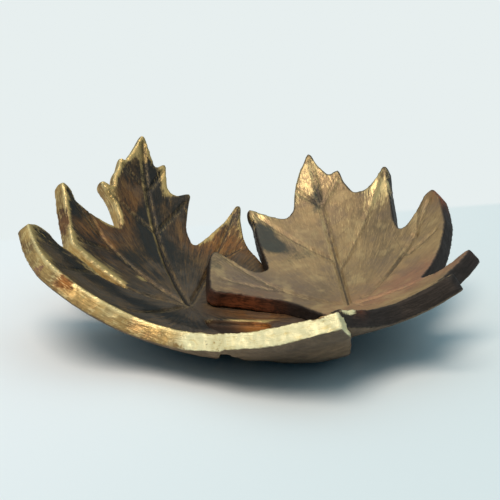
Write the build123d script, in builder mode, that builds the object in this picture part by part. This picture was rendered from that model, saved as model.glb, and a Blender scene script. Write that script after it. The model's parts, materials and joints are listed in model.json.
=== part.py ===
from build123d import *
from math import cos, radians, sin, tan
import os

# Ring dish made of two overlapping maple leaves. Each leaf is a hand-cut slab, bent to a bowl and
# cut square to its bend. The right leaf lies in a shallow bed pressed into the left one.

os.makedirs("parts", exist_ok=True)

# Driving dimensions, in millimetres and degrees

bowl_radius = 85.0             # outer radius of the bowl that both leaves were pressed in
left_thickness = 5.0           # slab of the left leaf, which stands on the table
right_thickness = 5.0          # slab of the right leaf, which lies on the left one
foot_depth = 2.0               # how deep the rounded underside is pressed flat
bond_gap = 0.15                # line of bonding slip round the right leaf in its bed
rim_angle = 80.0               # how far up the bowl the slabs could reach
right_shift = 6.0              # the right leaf's bend lies this far to the right of the left one's
right_lift = 4.3               # and this far above it, so it sinks deeper towards the right
lap_heading = -50.0            # below the right leaf's base the left slab is pressed out, this way
lap_lean = 23.6                # and this far from straight down,
lap_bulge = 2.2                # by this much in the middle of the swelling
lap_radius = 45.0              # radius of the swelling
lap_angle = 36.0               # and how far round it is drawn, to inside the bowl's own wall

left_reach = 99.0              # from the stem to the tip, on the pattern laid at the leaf's middle
left_lean = 12.0               # tilt of the pattern of the left leaf
left_lean_heading = 140.0      # and the way it leans, from +X towards +Y
left_midrib_heading = 114.2    # where the midrib points in plan
left_stem_back = 0.1           # the stem lies this far before the pattern's middle
left_stem_side = -7.2          # and this far beside it

right_reach = 88.0
right_lean = 18.0
right_lean_heading = 40.0
right_midrib_heading = 93.2
right_stem_back = 19.8
right_stem_side = 0.3

corner_round = 1.1             # rounding of every tip and notch of the outlines
blunt_run = 1.5                # a blunt corner is rounded over this much of the sides next to it
corner_share = 0.42            # and the share of its shorter side that a rounding may take
vein_width = 1.7               # width of a main vein at the stem
vein_end_width = 0.5           # and where it runs out
vein_depth = 0.7               # how deep the veins are pressed
branch_share = 0.6             # a branch vein's width beside a main vein's
near_share = 0.45              # the patterns are cut from here, as a share of the floor's radius,
far_share = 1.12               # to past the underside

# Outlines as bearing from the midrib in degrees and distance from the stem as a share of the
# reach, from the tip round by the right side

left_outline_shares = [
    (0, 1), (2.5, 0.88), (4, 0.755), (7.5, 0.785), (8.5, 0.625), (11.5, 0.59),
    (17, 0.61), (17, 0.54), (16.5, 0.42), (21, 0.33), (28, 0.405), (33, 0.5),
    (36, 0.605), (40.5, 0.505), (46, 0.425), (51, 0.395), (67.5, 0.35), (76, 0.275),
    (82.5, 0.33), (92, 0.39), (99.5, 0.36), (108, 0.315), (120.5, 0.375), (131, 0.445),
    (140.5, 0.51), (151, 0.605), (159, 0.685), (165.3, 0.81), (170.3, 0.955), (176.4, 1.12),
    (-179, 0.99), (-175.5, 0.9), (-170.5, 0.79), (-163.2, 0.69), (-163.4, 0.65),
    (-155, 0.56), (-144.5, 0.505), (-134, 0.505), (-124, 0.56), (-115, 0.62), (-107.5, 0.655), (-98.5, 0.655), (-82.5, 0.655),
    (-73.5, 0.69), (-68.5, 0.625), (-67, 0.555), (-69, 0.495), (-68, 0.44), (-68.5, 0.36),
    (-73, 0.28), (-74.5, 0.18), (-65, 0.255), (-61.5, 0.34), (-58.5, 0.445), (-53, 0.475),
    (-44, 0.56), (-35.5, 0.72), (-33.5, 0.66), (-34.5, 0.595), (-30.5, 0.515), (-26, 0.46),
    (-19.5, 0.415), (-17, 0.475), (-16, 0.565), (-17.5, 0.675), (-12.5, 0.61), (-11, 0.71),
    (-8, 0.825), (-6.5, 0.785), (-2.5, 0.915),
]
left_slit_shares = [
    (-166.3, 0.61), (-169, 0.565), (-179, 0.44), (166, 0.355), (148.5, 0.295), (135, 0.255),
    (133, 0.22), (145, 0.135), (174.5, 0.095), (-177.5, 0.16), (179, 0.225), (-174, 0.315),
    (-168, 0.44), (-164.2, 0.605),
]
right_outline_shares = [
    (0, 1), (2, 0.9), (4.5, 0.825), (7.5, 0.845), (8.5, 0.785), (11.5, 0.7),
    (15.5, 0.705), (18, 0.74), (22.5, 0.83), (24, 0.695), (28.5, 0.515), (33, 0.46),
    (36, 0.49), (39, 0.635), (41.5, 0.675), (45.5, 0.645), (56, 0.515), (68.5, 0.39),
    (82.5, 0.305), (94, 0.255), (98, 0.335), (95.5, 0.42), (94, 0.485), (102, 0.455),
    (113, 0.41), (126, 0.405), (144.5, 0.425), (139.3, 0.505), (135.6, 0.575), (140.3, 0.59),
    (145, 0.54), (152.3, 0.48), (159, 0.45), (165.5, 0.47), (173, 0.535), (177.3, 0.61),
    (-179, 0.68), (-176, 0.745), (-172, 0.7), (-172.5, 0.59), (-174.9, 0.377), (-170, 0.265),
    (-153, 0.15), (-106.5, 0.11), (-70, 0.16), (-61, 0.235), (-62.3, 0.3), (-66.3, 0.387),
    (-69, 0.437), (-72.4, 0.48), (-70.8, 0.515), (-61.2, 0.556),
    (-49.5, 0.635), (-46, 0.645), (-45, 0.605), (-44, 0.55), (-43.5, 0.495), (-41.5, 0.435),
    (-35.5, 0.42), (-31, 0.5), (-28, 0.59), (-24.5, 0.7), (-24, 0.765), (-20, 0.71),
    (-13.5, 0.645), (-10, 0.68), (-8, 0.76), (-6, 0.835), (-3.5, 0.915),
]

# Veins as start and end, each a bearing and a share of the reach

left_main_vein_shares = [
    (0, 0, 0, 0.93), (-36, 0.02, -35.5, 0.66), (-73, 0.02, -73.5, 0.63),
    (-112, 0.02, -119, 0.52), (36, 0.02, 36, 0.54), (137, 0.34, 180, 0.83),
]
left_branch_vein_shares = [
    (0, 0.38, -16.5, 0.61), (0, 0.38, 15.5, 0.55), (0, 0.60, 6.5, 0.73), (0, 0.60, -7.3, 0.77),
    (-35.8, 0.32, -52, 0.43), (-35.6, 0.38, -31.8, 0.53), (-73, 0.32, -95, 0.58),
    (36, 0.28, 46, 0.38),
]
right_main_vein_shares = [
    (0, 0, 0, 0.94), (62, 0.06, 42, 0.61), (100, 0.02, 99, 0.43),
    (-44, 0.02, -46, 0.60), (-178, 0.10, -178, 0.62),
]
right_branch_vein_shares = [
    (0, 0.28, 20.5, 0.77), (0, 0.34, -22.5, 0.71), (0, 0.66, 6.8, 0.80), (0, 0.66, -6.8, 0.79),
    (47.5, 0.33, 54, 0.46), (44.4, 0.42, 37.8, 0.58), (-45.5, 0.28, -59, 0.50),
    (138, 0.05, 137, 0.49),
]

# Worked out from the sizes above

bowl_centre = bowl_radius - foot_depth
left_floor = bowl_radius - left_thickness
right_floor = bowl_radius - right_thickness
left_centre = Vector(0, 0, bowl_centre)
right_centre = Vector(right_shift, 0, bowl_centre + right_lift)
lap_reach = bowl_radius - lap_radius + lap_bulge


def heading(azimuth, tilt):
    """Direction that leans from straight down by tilt, towards azimuth."""
    out = sin(radians(tilt))
    return Vector(out * cos(radians(azimuth)), out * sin(radians(azimuth)), -cos(radians(tilt)))


def pattern_plane(centre, lean, lean_heading, midrib_heading, distance):
    """Plane square to the leaf's middle, with the midrib along its own y."""
    down = heading(lean_heading, lean)
    flat = Vector(cos(radians(midrib_heading)), sin(radians(midrib_heading)), 0)
    along = flat + Vector(0, 0, -flat.dot(down) / down.Z)
    across = along.cross(down * -1)
    return Plane(origin=centre + down * distance, x_dir=across, z_dir=down * -1)


def spot(bearing, share, reach, side, back):
    """Point of the pattern, measured from the stem."""
    out = reach * share
    return Vector(side + out * sin(radians(bearing)), out * cos(radians(bearing)) - back)


def grown(points, margin):
    """The same outline, which runs clockwise, with every side moved outwards by margin."""
    moved = []
    for i, here in enumerate(points):
        ahead = (points[(i + 1) % len(points)] - here).normalized()
        behind = (here - points[i - 1]).normalized()
        outwards = Vector(-ahead.Y - behind.Y, ahead.X + behind.X)
        moved.append(here + outwards * (margin / (1 + ahead.dot(behind))))
    return moved


def corner_radii(points, sharp_radius, blunt_length):
    """Rounding of each corner, kept within the shorter side next to it."""
    radii = []
    for i, here in enumerate(points):
        before = points[i - 1] - here
        after = points[(i + 1) % len(points)] - here
        half = radians(before.get_angle(after)) / 2
        room = min(before.length, after.length) * tan(half) * corner_share
        radii.append(min(max(sharp_radius, blunt_length * tan(half)), room))
    return radii


def outline_face(points, plane, scale):
    """Outline of a leaf as a face, at the size that it has on the given plane."""
    corners = [point * scale for point in points]
    radii = corner_radii(corners, corner_round * scale, blunt_run * scale)
    with BuildSketch(plane) as sketch:
        with BuildLine():
            FilletPolyline(*corners, radius=radii, close=True)
        make_face()
    return sketch.sketch.face()


def vein_face(start, end, wide, plane, scale):
    """Long thin wedge from start to end as a face."""
    square = Vector(start.Y - end.Y, end.X - start.X).normalized()
    corners = [start + square * wide / 2, start - square * wide / 2,
               end - square * vein_end_width / 2, end + square * vein_end_width / 2]
    with BuildSketch(plane) as sketch:
        with BuildLine():
            Polyline(*[corner * scale for corner in corners], close=True)
        make_face()
    return sketch.sketch.face()


def left_plane(distance):
    """Pattern plane of the left leaf at a distance from its bowl's middle."""
    return pattern_plane(left_centre, left_lean, left_lean_heading, left_midrib_heading, distance)


def right_plane(distance):
    """Pattern plane of the right leaf at a distance from its bowl's middle."""
    return pattern_plane(right_centre, right_lean, right_lean_heading, right_midrib_heading,
                         distance)


def left_spot(bearing, share):
    """Point of the left leaf's pattern."""
    return spot(bearing, share, left_reach, left_stem_side, left_stem_back)


def right_spot(bearing, share):
    """Point of the right leaf's pattern."""
    return spot(bearing, share, right_reach, right_stem_side, right_stem_back)


left_outline = [left_spot(bearing, share) for bearing, share in left_outline_shares]
left_slit = [left_spot(bearing, share) for bearing, share in left_slit_shares]
right_outline = [right_spot(bearing, share) for bearing, share in right_outline_shares]
lap_plane = Plane(origin=left_centre, x_dir=heading(lap_heading, lap_lean + 90),
                  z_dir=heading(lap_heading - 90, 90))
right_axis = Axis((right_centre.X, right_centre.Y, 0), (0, 0, 1))

# Left leaf: the lower slab, with a flat foot, pressed veins and the bed of the right leaf

with BuildPart() as left_veins:
    for shares, wide in ((left_main_vein_shares, vein_width),
                         (left_branch_vein_shares, vein_width * branch_share)):
        for bearing, share, end_bearing, end_share in shares:
            start = left_spot(bearing, share)
            end = left_spot(end_bearing, end_share)
            loft([vein_face(start, end, wide, left_plane(left_floor * scale), scale)
                  for scale in (near_share, far_share)], ruled=True)
    with BuildSketch(Plane.XZ):
        with BuildLine():
            floor_arc = CenterArc((0, bowl_centre), left_floor + vein_depth, -90, rim_angle)
            Polyline(floor_arc @ 1, (0, bowl_centre), floor_arc @ 0)
        make_face()
    revolve(axis=Axis.Z, mode=Mode.INTERSECT)

with BuildPart() as left_bed:
    loft([outline_face(grown(right_outline, bond_gap), right_plane(right_floor * scale), scale)
          for scale in (near_share, far_share)], ruled=True)
    with BuildSketch(Plane.XZ):
        with BuildLine():
            bed_arc = CenterArc((right_centre.X, right_centre.Z), bowl_radius + bond_gap, -90,
                                rim_angle)
            Polyline(bed_arc @ 1, (right_centre.X, right_centre.Z), bed_arc @ 0)
        make_face()
    revolve(axis=right_axis, mode=Mode.INTERSECT)

with BuildPart() as left_wall:
    with BuildSketch(Plane.XZ):
        with BuildLine():
            under_arc = CenterArc((0, bowl_centre), bowl_radius, -90, rim_angle)
            Polyline(under_arc @ 1, (0, bowl_centre), under_arc @ 0)
        make_face()
    revolve(axis=Axis.Z)
    with BuildSketch(lap_plane):
        with BuildLine():
            lap_arc = CenterArc((0, -lap_reach), lap_radius, -90, lap_angle)
            Polyline(lap_arc @ 1, (0, 0), lap_arc @ 0)
        make_face()
    revolve(axis=Axis(left_centre, heading(lap_heading, lap_lean)))
    split(bisect_by=Plane.XY, keep=Keep.TOP)
    with BuildSketch(Plane.XZ):
        with BuildLine():
            top_arc = CenterArc((0, bowl_centre), left_floor, -90, rim_angle)
            Polyline(top_arc @ 1, (0, bowl_centre), top_arc @ 0)
        make_face()
    revolve(axis=Axis.Z, mode=Mode.SUBTRACT)

with BuildPart() as left_leaf:
    loft([outline_face(left_outline, left_plane(left_floor * scale), scale)
          for scale in (near_share, far_share)], ruled=True)
    loft([outline_face(left_slit, left_plane(left_floor * scale), scale)
          for scale in (near_share, far_share)], ruled=True, mode=Mode.SUBTRACT)
    add(left_wall.part, mode=Mode.INTERSECT)
    add(left_veins.part, mode=Mode.SUBTRACT)
    add(left_bed.part, mode=Mode.SUBTRACT)

left_leaf.part.label = "left_leaf"
export_step(left_leaf.part, "parts/left_leaf.step")

# Right leaf: the upper slab, bonded into its bed where the two leaves cross

with BuildPart() as right_veins:
    for shares, wide in ((right_main_vein_shares, vein_width),
                         (right_branch_vein_shares, vein_width * branch_share)):
        for bearing, share, end_bearing, end_share in shares:
            start = right_spot(bearing, share)
            end = right_spot(end_bearing, end_share)
            loft([vein_face(start, end, wide, right_plane(right_floor * scale), scale)
                  for scale in (near_share, far_share)], ruled=True)
    with BuildSketch(Plane.XZ):
        with BuildLine():
            floor_arc = CenterArc((right_centre.X, right_centre.Z), right_floor + vein_depth,
                                  -90, rim_angle)
            Polyline(floor_arc @ 1, (right_centre.X, right_centre.Z), floor_arc @ 0)
        make_face()
    revolve(axis=right_axis, mode=Mode.INTERSECT)

with BuildPart() as right_leaf:
    loft([outline_face(right_outline, right_plane(right_floor * scale), scale)
          for scale in (near_share, far_share)], ruled=True)
    with BuildSketch(Plane.XZ):
        with BuildLine():
            under_arc = CenterArc((right_centre.X, right_centre.Z), bowl_radius, -90, rim_angle)
            top_arc = CenterArc((right_centre.X, right_centre.Z), right_floor, -90, rim_angle)
            Line(under_arc @ 1, top_arc @ 1)
            Line(top_arc @ 0, under_arc @ 0)
        make_face()
    revolve(axis=right_axis, mode=Mode.INTERSECT)
    add(right_veins.part, mode=Mode.SUBTRACT)

right_leaf.part.label = "right_leaf"
export_step(right_leaf.part, "parts/right_leaf.step")
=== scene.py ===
"""Ring dish: two bent clay maple leaves with a bronze patina and gilded cut edges."""
import json
import logging
import math
from dataclasses import dataclass, field
from enum import Enum
from functools import partial, reduce

import bpy
import numpy as np
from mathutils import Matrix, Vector, kdtree

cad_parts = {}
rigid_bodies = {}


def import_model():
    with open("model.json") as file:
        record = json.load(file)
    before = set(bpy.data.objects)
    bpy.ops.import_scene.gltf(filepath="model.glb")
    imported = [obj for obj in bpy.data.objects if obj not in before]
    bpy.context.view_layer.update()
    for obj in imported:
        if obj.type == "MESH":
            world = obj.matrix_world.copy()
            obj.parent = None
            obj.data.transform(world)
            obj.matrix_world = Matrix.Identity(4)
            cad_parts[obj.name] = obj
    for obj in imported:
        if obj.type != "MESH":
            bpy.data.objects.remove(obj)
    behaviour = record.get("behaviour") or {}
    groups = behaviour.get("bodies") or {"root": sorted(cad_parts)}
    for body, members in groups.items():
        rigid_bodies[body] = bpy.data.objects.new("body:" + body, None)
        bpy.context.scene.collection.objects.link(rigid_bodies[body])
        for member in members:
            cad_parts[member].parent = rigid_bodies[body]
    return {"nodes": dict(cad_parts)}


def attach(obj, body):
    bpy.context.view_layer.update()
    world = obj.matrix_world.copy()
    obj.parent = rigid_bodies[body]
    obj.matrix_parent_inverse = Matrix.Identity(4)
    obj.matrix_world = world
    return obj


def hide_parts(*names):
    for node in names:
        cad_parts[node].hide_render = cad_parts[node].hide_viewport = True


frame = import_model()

LOG = logging.getLogger("ring_dish")
MM = 0.001
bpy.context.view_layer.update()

Triple = tuple[float, float, float]
Four = tuple[float, float, float, float]
Socket = bpy.types.NodeSocket
Value = Socket | float | Triple

# Distances that stand for a vein or rim that is nowhere near, millimetres
NO_VEIN = 99.0
FAR_OFF = 9.0
NO_RIM = 12.0

# Names of the coordinates that are kept on the mesh
GRAIN = "grain"  # fans out from the stem along the floor
BAND = "band"    # runs along the cut edge and the underside

# How fast those change for each millimetre
GRAIN_RUN = 0.0028   # along a stroke
BAND_RUN = 0.006     # along the cut edge
BAND_DEPTH = 0.045   # across it

# Dark and dull tones that both leaves share, linear
SOOT_AND_SHADE_TINT = (0.16, 0.20, 0.22)
VEIN_TONE = (0.026, 0.021, 0.017)
MIDRIB_TONE = (0.016, 0.012, 0.010)
BED_TONE = (0.030, 0.017, 0.011)
RIM_SHADE = (0.022, 0.018, 0.017)
# painted shade, laid on the floor next to the cut edge
EDGE_SOOT_AND_SHADE = (0.024, 0.019, 0.016)
EDGE_SPECK = (0.06, 0.03, 0.015)
CRACK_TONE = (0.075, 0.030, 0.012)
DULL_LEAF = (0.80, 0.64, 0.28)
UNDER_CLOUD = (0.040, 0.036, 0.034)
UNDER_SPECK = (0.03, 0.025, 0.02)
SHEEN = (1.0, 0.86, 0.66)

# Clay work, lengths in millimetres
WELD = 0.004         # points of the solid that lie closer than this are one
CELL = 0.5           # size of the mesh's cells
WEB_CELLS = 24       # cells of a web's mesh along each side
WEB_START = 4.0      # height of a web before it is bent
CORNER_ROUNDS = 60   # how many times a blunt corner is smoothed
TIP_WIDTH = 3.0      # how far beside the cut edge clay goes along with it
NEIGHBOURS = 8       # points of the cut edge that each one follows
THINNING = 0.3       # share of a point's depth that it loses where the slab is thin
THIN_FROM = 0.8      # depth from which it loses all of that, as a share of the thickness
FLOOR_SKIN = 1.5     # clay above this depth is pressed with the floor's veins
VEIN_SKIN = 1.4      # a vein's flank is no cut edge above this depth
VEIN_HALF = 1.6      # and within this distance of the vein's middle
TWIG_GAP = 6.3       # distance between fine side veins
TWIG_SWAY = 7.0      # how far they sway

# Heights between which the bowl's floor turns to its wall
RISE = (9.0 * MM, 22.0 * MM)

# How metallic and how rough the surfaces are
FLOOR_METAL = (0.2, 0.6)     # plain, and where gold is rubbed
LEAF_METAL = (0.5, 0.15)     # thin gold leaf and thick
CLAY_METAL = 0.1
FLOOR_ROUGH = (0.34, 0.54)
EDGE_ROUGH = (0.36, 0.55)    # gilded and bare
UNDER_ROUGH = 0.62
SPECULAR = 0.3
BUMP = 0.6
BUMP_DEPTH = 0.4 * MM


class Blend(Enum):
    """How a layer of colour is laid over the one below."""

    COVER = "MIX"
    DARKEN = "MULTIPLY"


class Mask(Enum):
    """Painted masks, kept on the mesh as attributes of these names."""

    WALL = "wall"        # cut edge of the slab
    UNDER = "under"      # underside
    DEPTH = "depth"      # 0 at the floor, 1 at the underside
    RIM = "rim"          # distance from the cut edge, millimetres
    VEIN = "vein"        # signed distance from the pressed veins, fading out beside them
    NEAR = "near"        # how near the veins are
    CREASE = "crease"    # where a vein is cut deep, or a cut edge is cracked
    MIDRIB = "midrib"    # distance from the midrib, millimetres, less than 0 on its left
    BRANCH = "branch"    # runs along the fine side veins
    HAIR = "hair"        # where fine side veins show
    GILT = "gilt"        # gold leaf and rubbed gold
    PALE = "pale"        # gold leaf that is thick and bright
    RUST = "rust"        # orange brown bole showing through
    # blue black patina, and in one patch of the right leaf painted shade along a rounded upper edge
    SOOT = "soot"        # blue black patina
    ROSE = "rose"        # copper pink patina
    ASH = "ash"          # dull grey brown patina


@dataclass(frozen=True)
class Spot:
    """A soft patch that is laid on.

    Args:
        place: Its middle, millimetres.
        reach: How far it spreads along x, y and z, millimetres.
        amount: How strong it is in the middle.
    """

    place: Triple
    reach: Triple
    amount: float


@dataclass(frozen=True)
class Pull:
    """A tip that is drawn out by hand.

    Args:
        place: Where the tip lies, millimetres.
        move: How far it is drawn, millimetres.
        reach: How much of the clay round it goes along, millimetres.
    """

    place: Triple
    move: Triple
    reach: float = 3.5


def spots(*rows: tuple[float, ...]) -> list[Spot]:
    """Makes patches, each from a row of its place, its reach and its amount."""
    return [Spot(row[:3], row[3:6], row[6]) for row in rows]


def strength(places: np.ndarray, laid: list[Spot]) -> np.ndarray:
    """Adds up patches.

    Args:
        places: Points, rows of x, y and z in millimetres.
        laid: The patches.

    Returns:
        How strong they are at each point, 0 to 1.
    """
    total = np.zeros(len(places))
    for spot in laid:
        away = (places - np.array(spot.place)) / np.array(spot.reach)
        total += spot.amount * np.exp(-np.sum(away**2, axis=1))
    return np.clip(total, 0.0, 1.0)


def tree_of(points: np.ndarray) -> kdtree.KDTree:
    """Sorts points, so that the nearest ones are found fast.

    Args:
        points: Rows of x, y and z.

    Returns:
        The tree, which numbers the points in their order.
    """
    tree = kdtree.KDTree(len(points))
    for index, point in enumerate(points):
        tree.insert(point, index)
    tree.balance()
    return tree


def scaled(tone: Triple, factor: float) -> Triple:
    """Makes a tone lighter or darker."""
    return tuple(factor * part for part in tone)


def reshape(piece: bpy.types.Object, kind: str, **settings: object) -> None:
    """Adds a modifier to a piece and applies it.

    Args:
        piece: The piece.
        kind: The modifier's type.
        settings: Its settings.
    """
    made = piece.modifiers.new(kind.title(), kind)
    for name, value in settings.items():
        setattr(made, name, value)
    bpy.context.view_layer.objects.active = piece
    bpy.ops.object.modifier_apply(modifier=made.name)


@dataclass(frozen=True)
class Pattern:
    """Flat pattern of a leaf, laid at the middle of the leaf and wrapped on to its floor.

    Args:
        centre: Middle of the bowl, millimetres.
        radius: Radius of the floor, millimetres.
        lean: Tilt of the pattern, degrees.
        lean_heading: The way that it leans, degrees from +X.
        midrib_heading: Where the midrib points in plan, degrees from +X.
        reach: Distance from the stem to the tip, millimetres.
        side: How far the stem lies beside the pattern's middle, millimetres.
        back: How far the stem lies before it, millimetres.
    """

    centre: Triple
    radius: float
    lean: float
    lean_heading: float
    midrib_heading: float
    reach: float
    side: float
    back: float

    def axes(self) -> np.ndarray:
        """Finds the way that the pattern lies.

        Returns:
            Directions across it, along its midrib and down through its middle.
        """
        tilt, way, rib = (math.radians(a) for a in (self.lean, self.lean_heading, self.midrib_heading))
        down = np.array([math.sin(tilt) * math.cos(way), math.sin(tilt) * math.sin(way), -math.cos(tilt)])
        flat = np.array([math.cos(rib), math.sin(rib), 0.0])
        along = flat - np.array([0.0, 0.0, float(flat @ down) / down[2]])
        along /= np.linalg.norm(along)
        return np.array([np.cross(along, -down), along, down])

    def spot(self, bearing: float, share: float) -> np.ndarray:
        """Finds a point of the flat pattern.

        Args:
            bearing: Its bearing from the midrib, seen from the stem, degrees.
            share: Its distance from the stem, as a share of the reach.

        Returns:
            Its place across the pattern and along the midrib, millimetres.
        """
        out = self.reach * share
        angle = math.radians(bearing)
        return np.array([self.side + out * math.sin(angle), out * math.cos(angle) - self.back])

    def wrap(self, flat: np.ndarray) -> np.ndarray:
        """Puts points of the flat pattern on the floor.

        Args:
            flat: Rows of two numbers.

        Returns:
            Rows of x, y and z, millimetres.
        """
        rays = np.column_stack((flat / self.radius, np.ones(len(flat)))) @ self.axes()
        rays /= np.linalg.norm(rays, axis=1)[:, None]
        return np.array(self.centre) + rays * self.radius

    def flatten(self, places: np.ndarray) -> np.ndarray:
        """Puts points of the slab on the flat pattern."""
        rays = self.rays(places)[0] @ self.axes().T
        return rays[:, :2] / np.maximum(rays[:, 2:], 1.0) * self.radius

    def rays(self, places: np.ndarray) -> tuple[np.ndarray, np.ndarray]:
        """Runs from the bowl's middle to points, and how long they are, millimetres."""
        out = places - np.array(self.centre)
        return out, np.linalg.norm(out, axis=1)


class Graph:
    """A material's node tree, with short ways to add nodes to it."""

    def __init__(self, name: str) -> None:
        """Starts an empty material.

        Args:
            name: Name of the material.
        """
        self.material = bpy.data.materials.new(name)
        self.material.use_nodes = True
        self.tree = self.material.node_tree
        self.tree.nodes.clear()

    def node(self, kind: str, inputs: dict[str | int, Value] | None = None,
             **settings: object) -> bpy.types.Node:
        """Adds a node.

        Args:
            kind: The node's type name without its prefix.
            inputs: A socket to link, or a number or colour to set, for inputs by name or number.
            settings: Properties to set on it.

        Returns:
            The new node.
        """
        made = self.tree.nodes.new("ShaderNode" + kind)
        for name, value in settings.items():
            setattr(made, name, value)
        for key, value in (inputs or {}).items():
            socket = made.inputs[key]
            if isinstance(value, Socket):
                self.tree.links.new(value, socket)
            else:
                socket.default_value = (*value, 1.0) if socket.type == "RGBA" else value
        return made

    def read(self, name: str, output: str) -> Socket:
        """Reads an attribute of the mesh."""
        return self.node("Attribute", attribute_name=name).outputs[output]

    def mask(self, mask: Mask) -> Socket:
        """Reads a painted mask."""
        return self.read(mask.value, "Fac")

    def math(self, operation: str, *values: Value) -> Socket:
        """Works out an operation of a Math node on sockets and numbers."""
        return self.node("Math", dict(enumerate(values)), operation=operation).outputs[0]

    def times(self, *values: Value) -> Socket:
        """Multiplies sockets and numbers, from the left."""
        return reduce(partial(self.math, "MULTIPLY"), values)

    def plus(self, *values: Value) -> Socket:
        """Adds sockets and numbers up, from the left."""
        return reduce(partial(self.math, "ADD"), values)

    def step(self, value: Value, low: float, high: float) -> Socket:
        """Turns a value into 0 at low and 1 at high, with ends that ease in."""
        inputs = {"Value": value, "From Min": low, "From Max": high}
        return self.node("MapRange", inputs, interpolation_type="SMOOTHSTEP").outputs["Result"]

    def noise(self, vector: Socket, scale: float, detail: float = 3.0, rough: float = 0.55,
              twist: float = 0.0) -> Socket:
        """Adds a noise pattern.

        Args:
            vector: Where it reads.
            scale: How fine it is.
            detail: Its octaves.
            rough: How strong its fine octaves are.
            twist: Its distortion.

        Returns:
            Its value.
        """
        made = self.node("TexNoise", {"Vector": vector, "Scale": scale, "Detail": detail,
                                      "Roughness": rough, "Distortion": twist})
        return made.outputs["Fac"]

    def between(self, amount: Value, low: Value, high: Value) -> Socket:
        """Blends two numbers: low where the amount is 0, high where it is 1."""
        inputs = {0: amount, 2: low, 3: high}
        return self.node("Mix", inputs, data_type="FLOAT", clamp_factor=True).outputs[0]

    def layer(self, amount: Value, below: Value, above: Value, how: Blend = Blend.COVER) -> Socket:
        """Lays a colour over another.

        Args:
            amount: How much of it, socket or number.
            below: The colour under it.
            above: The colour laid on.
            how: The way that it is laid.

        Returns:
            The colour that results.
        """
        made = self.node("Mix", data_type="RGBA", blend_type=how.value, clamp_factor=True,
                         inputs={0: amount, 6: below, 7: above})
        return made.outputs[2]

    def tint(self, below: Value, tone: Value, value: Value, low: float, high: float,
             amount: Value) -> Socket:
        """Lays some of a tone over a colour where a value has stepped from low to high."""
        return self.layer(self.times(self.step(value, low, high), amount), below, tone)

    def finish(self, surface: Socket) -> bpy.types.Material:
        """Ends the material with a surface."""
        self.node("OutputMaterial", {"Surface": surface})
        return self.material


class Coat(Graph):
    """Nodes of a leaf's material, with the patterns that all parts of the patina read."""

    def __init__(self, name: str, fine: float) -> None:
        """Starts the material and lays out the patterns.

        Args:
            name: Name of the material.
            fine: How fine the strokes are that fan out from the stem, 0 to 1.
        """
        super().__init__(name)
        self.place = self.node("TexCoord").outputs["Object"]
        grain = self.read(GRAIN, "Vector")
        band = self.read(BAND, "Vector")
        self.high = self.step(self.node("SeparateXYZ", {0: self.place}).outputs["Z"], *RISE)
        # patches and flecks, from broad to fine
        self.cloud = self.noise(self.place, 38.0)
        self.drift = self.noise(self.place, 150.0, 2.0, 0.5)
        self.flake = self.noise(self.place, 420.0, 5.0, 0.68, 0.6)
        self.speck = self.noise(self.place, 1500.0, 3.0, 0.65)
        # strokes, broad and fine, and streaks of the cut edge
        self.brush = self.noise(grain, 32.0, 5.0, 0.62, 0.1)
        self.hairs = self.noise(grain, 150.0, 3.0, 0.6)
        self.lines = self.noise(band, 60.0, 4.0, 0.62, 0.2)
        self.strand = self.between(fine, self.brush, self.hairs)
        self.chips = self.plus(self.flake, self.lines)
        self.sweep = self.plus(self.times(self.drift, 0.55), self.times(self.lines, 0.45))


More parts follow.
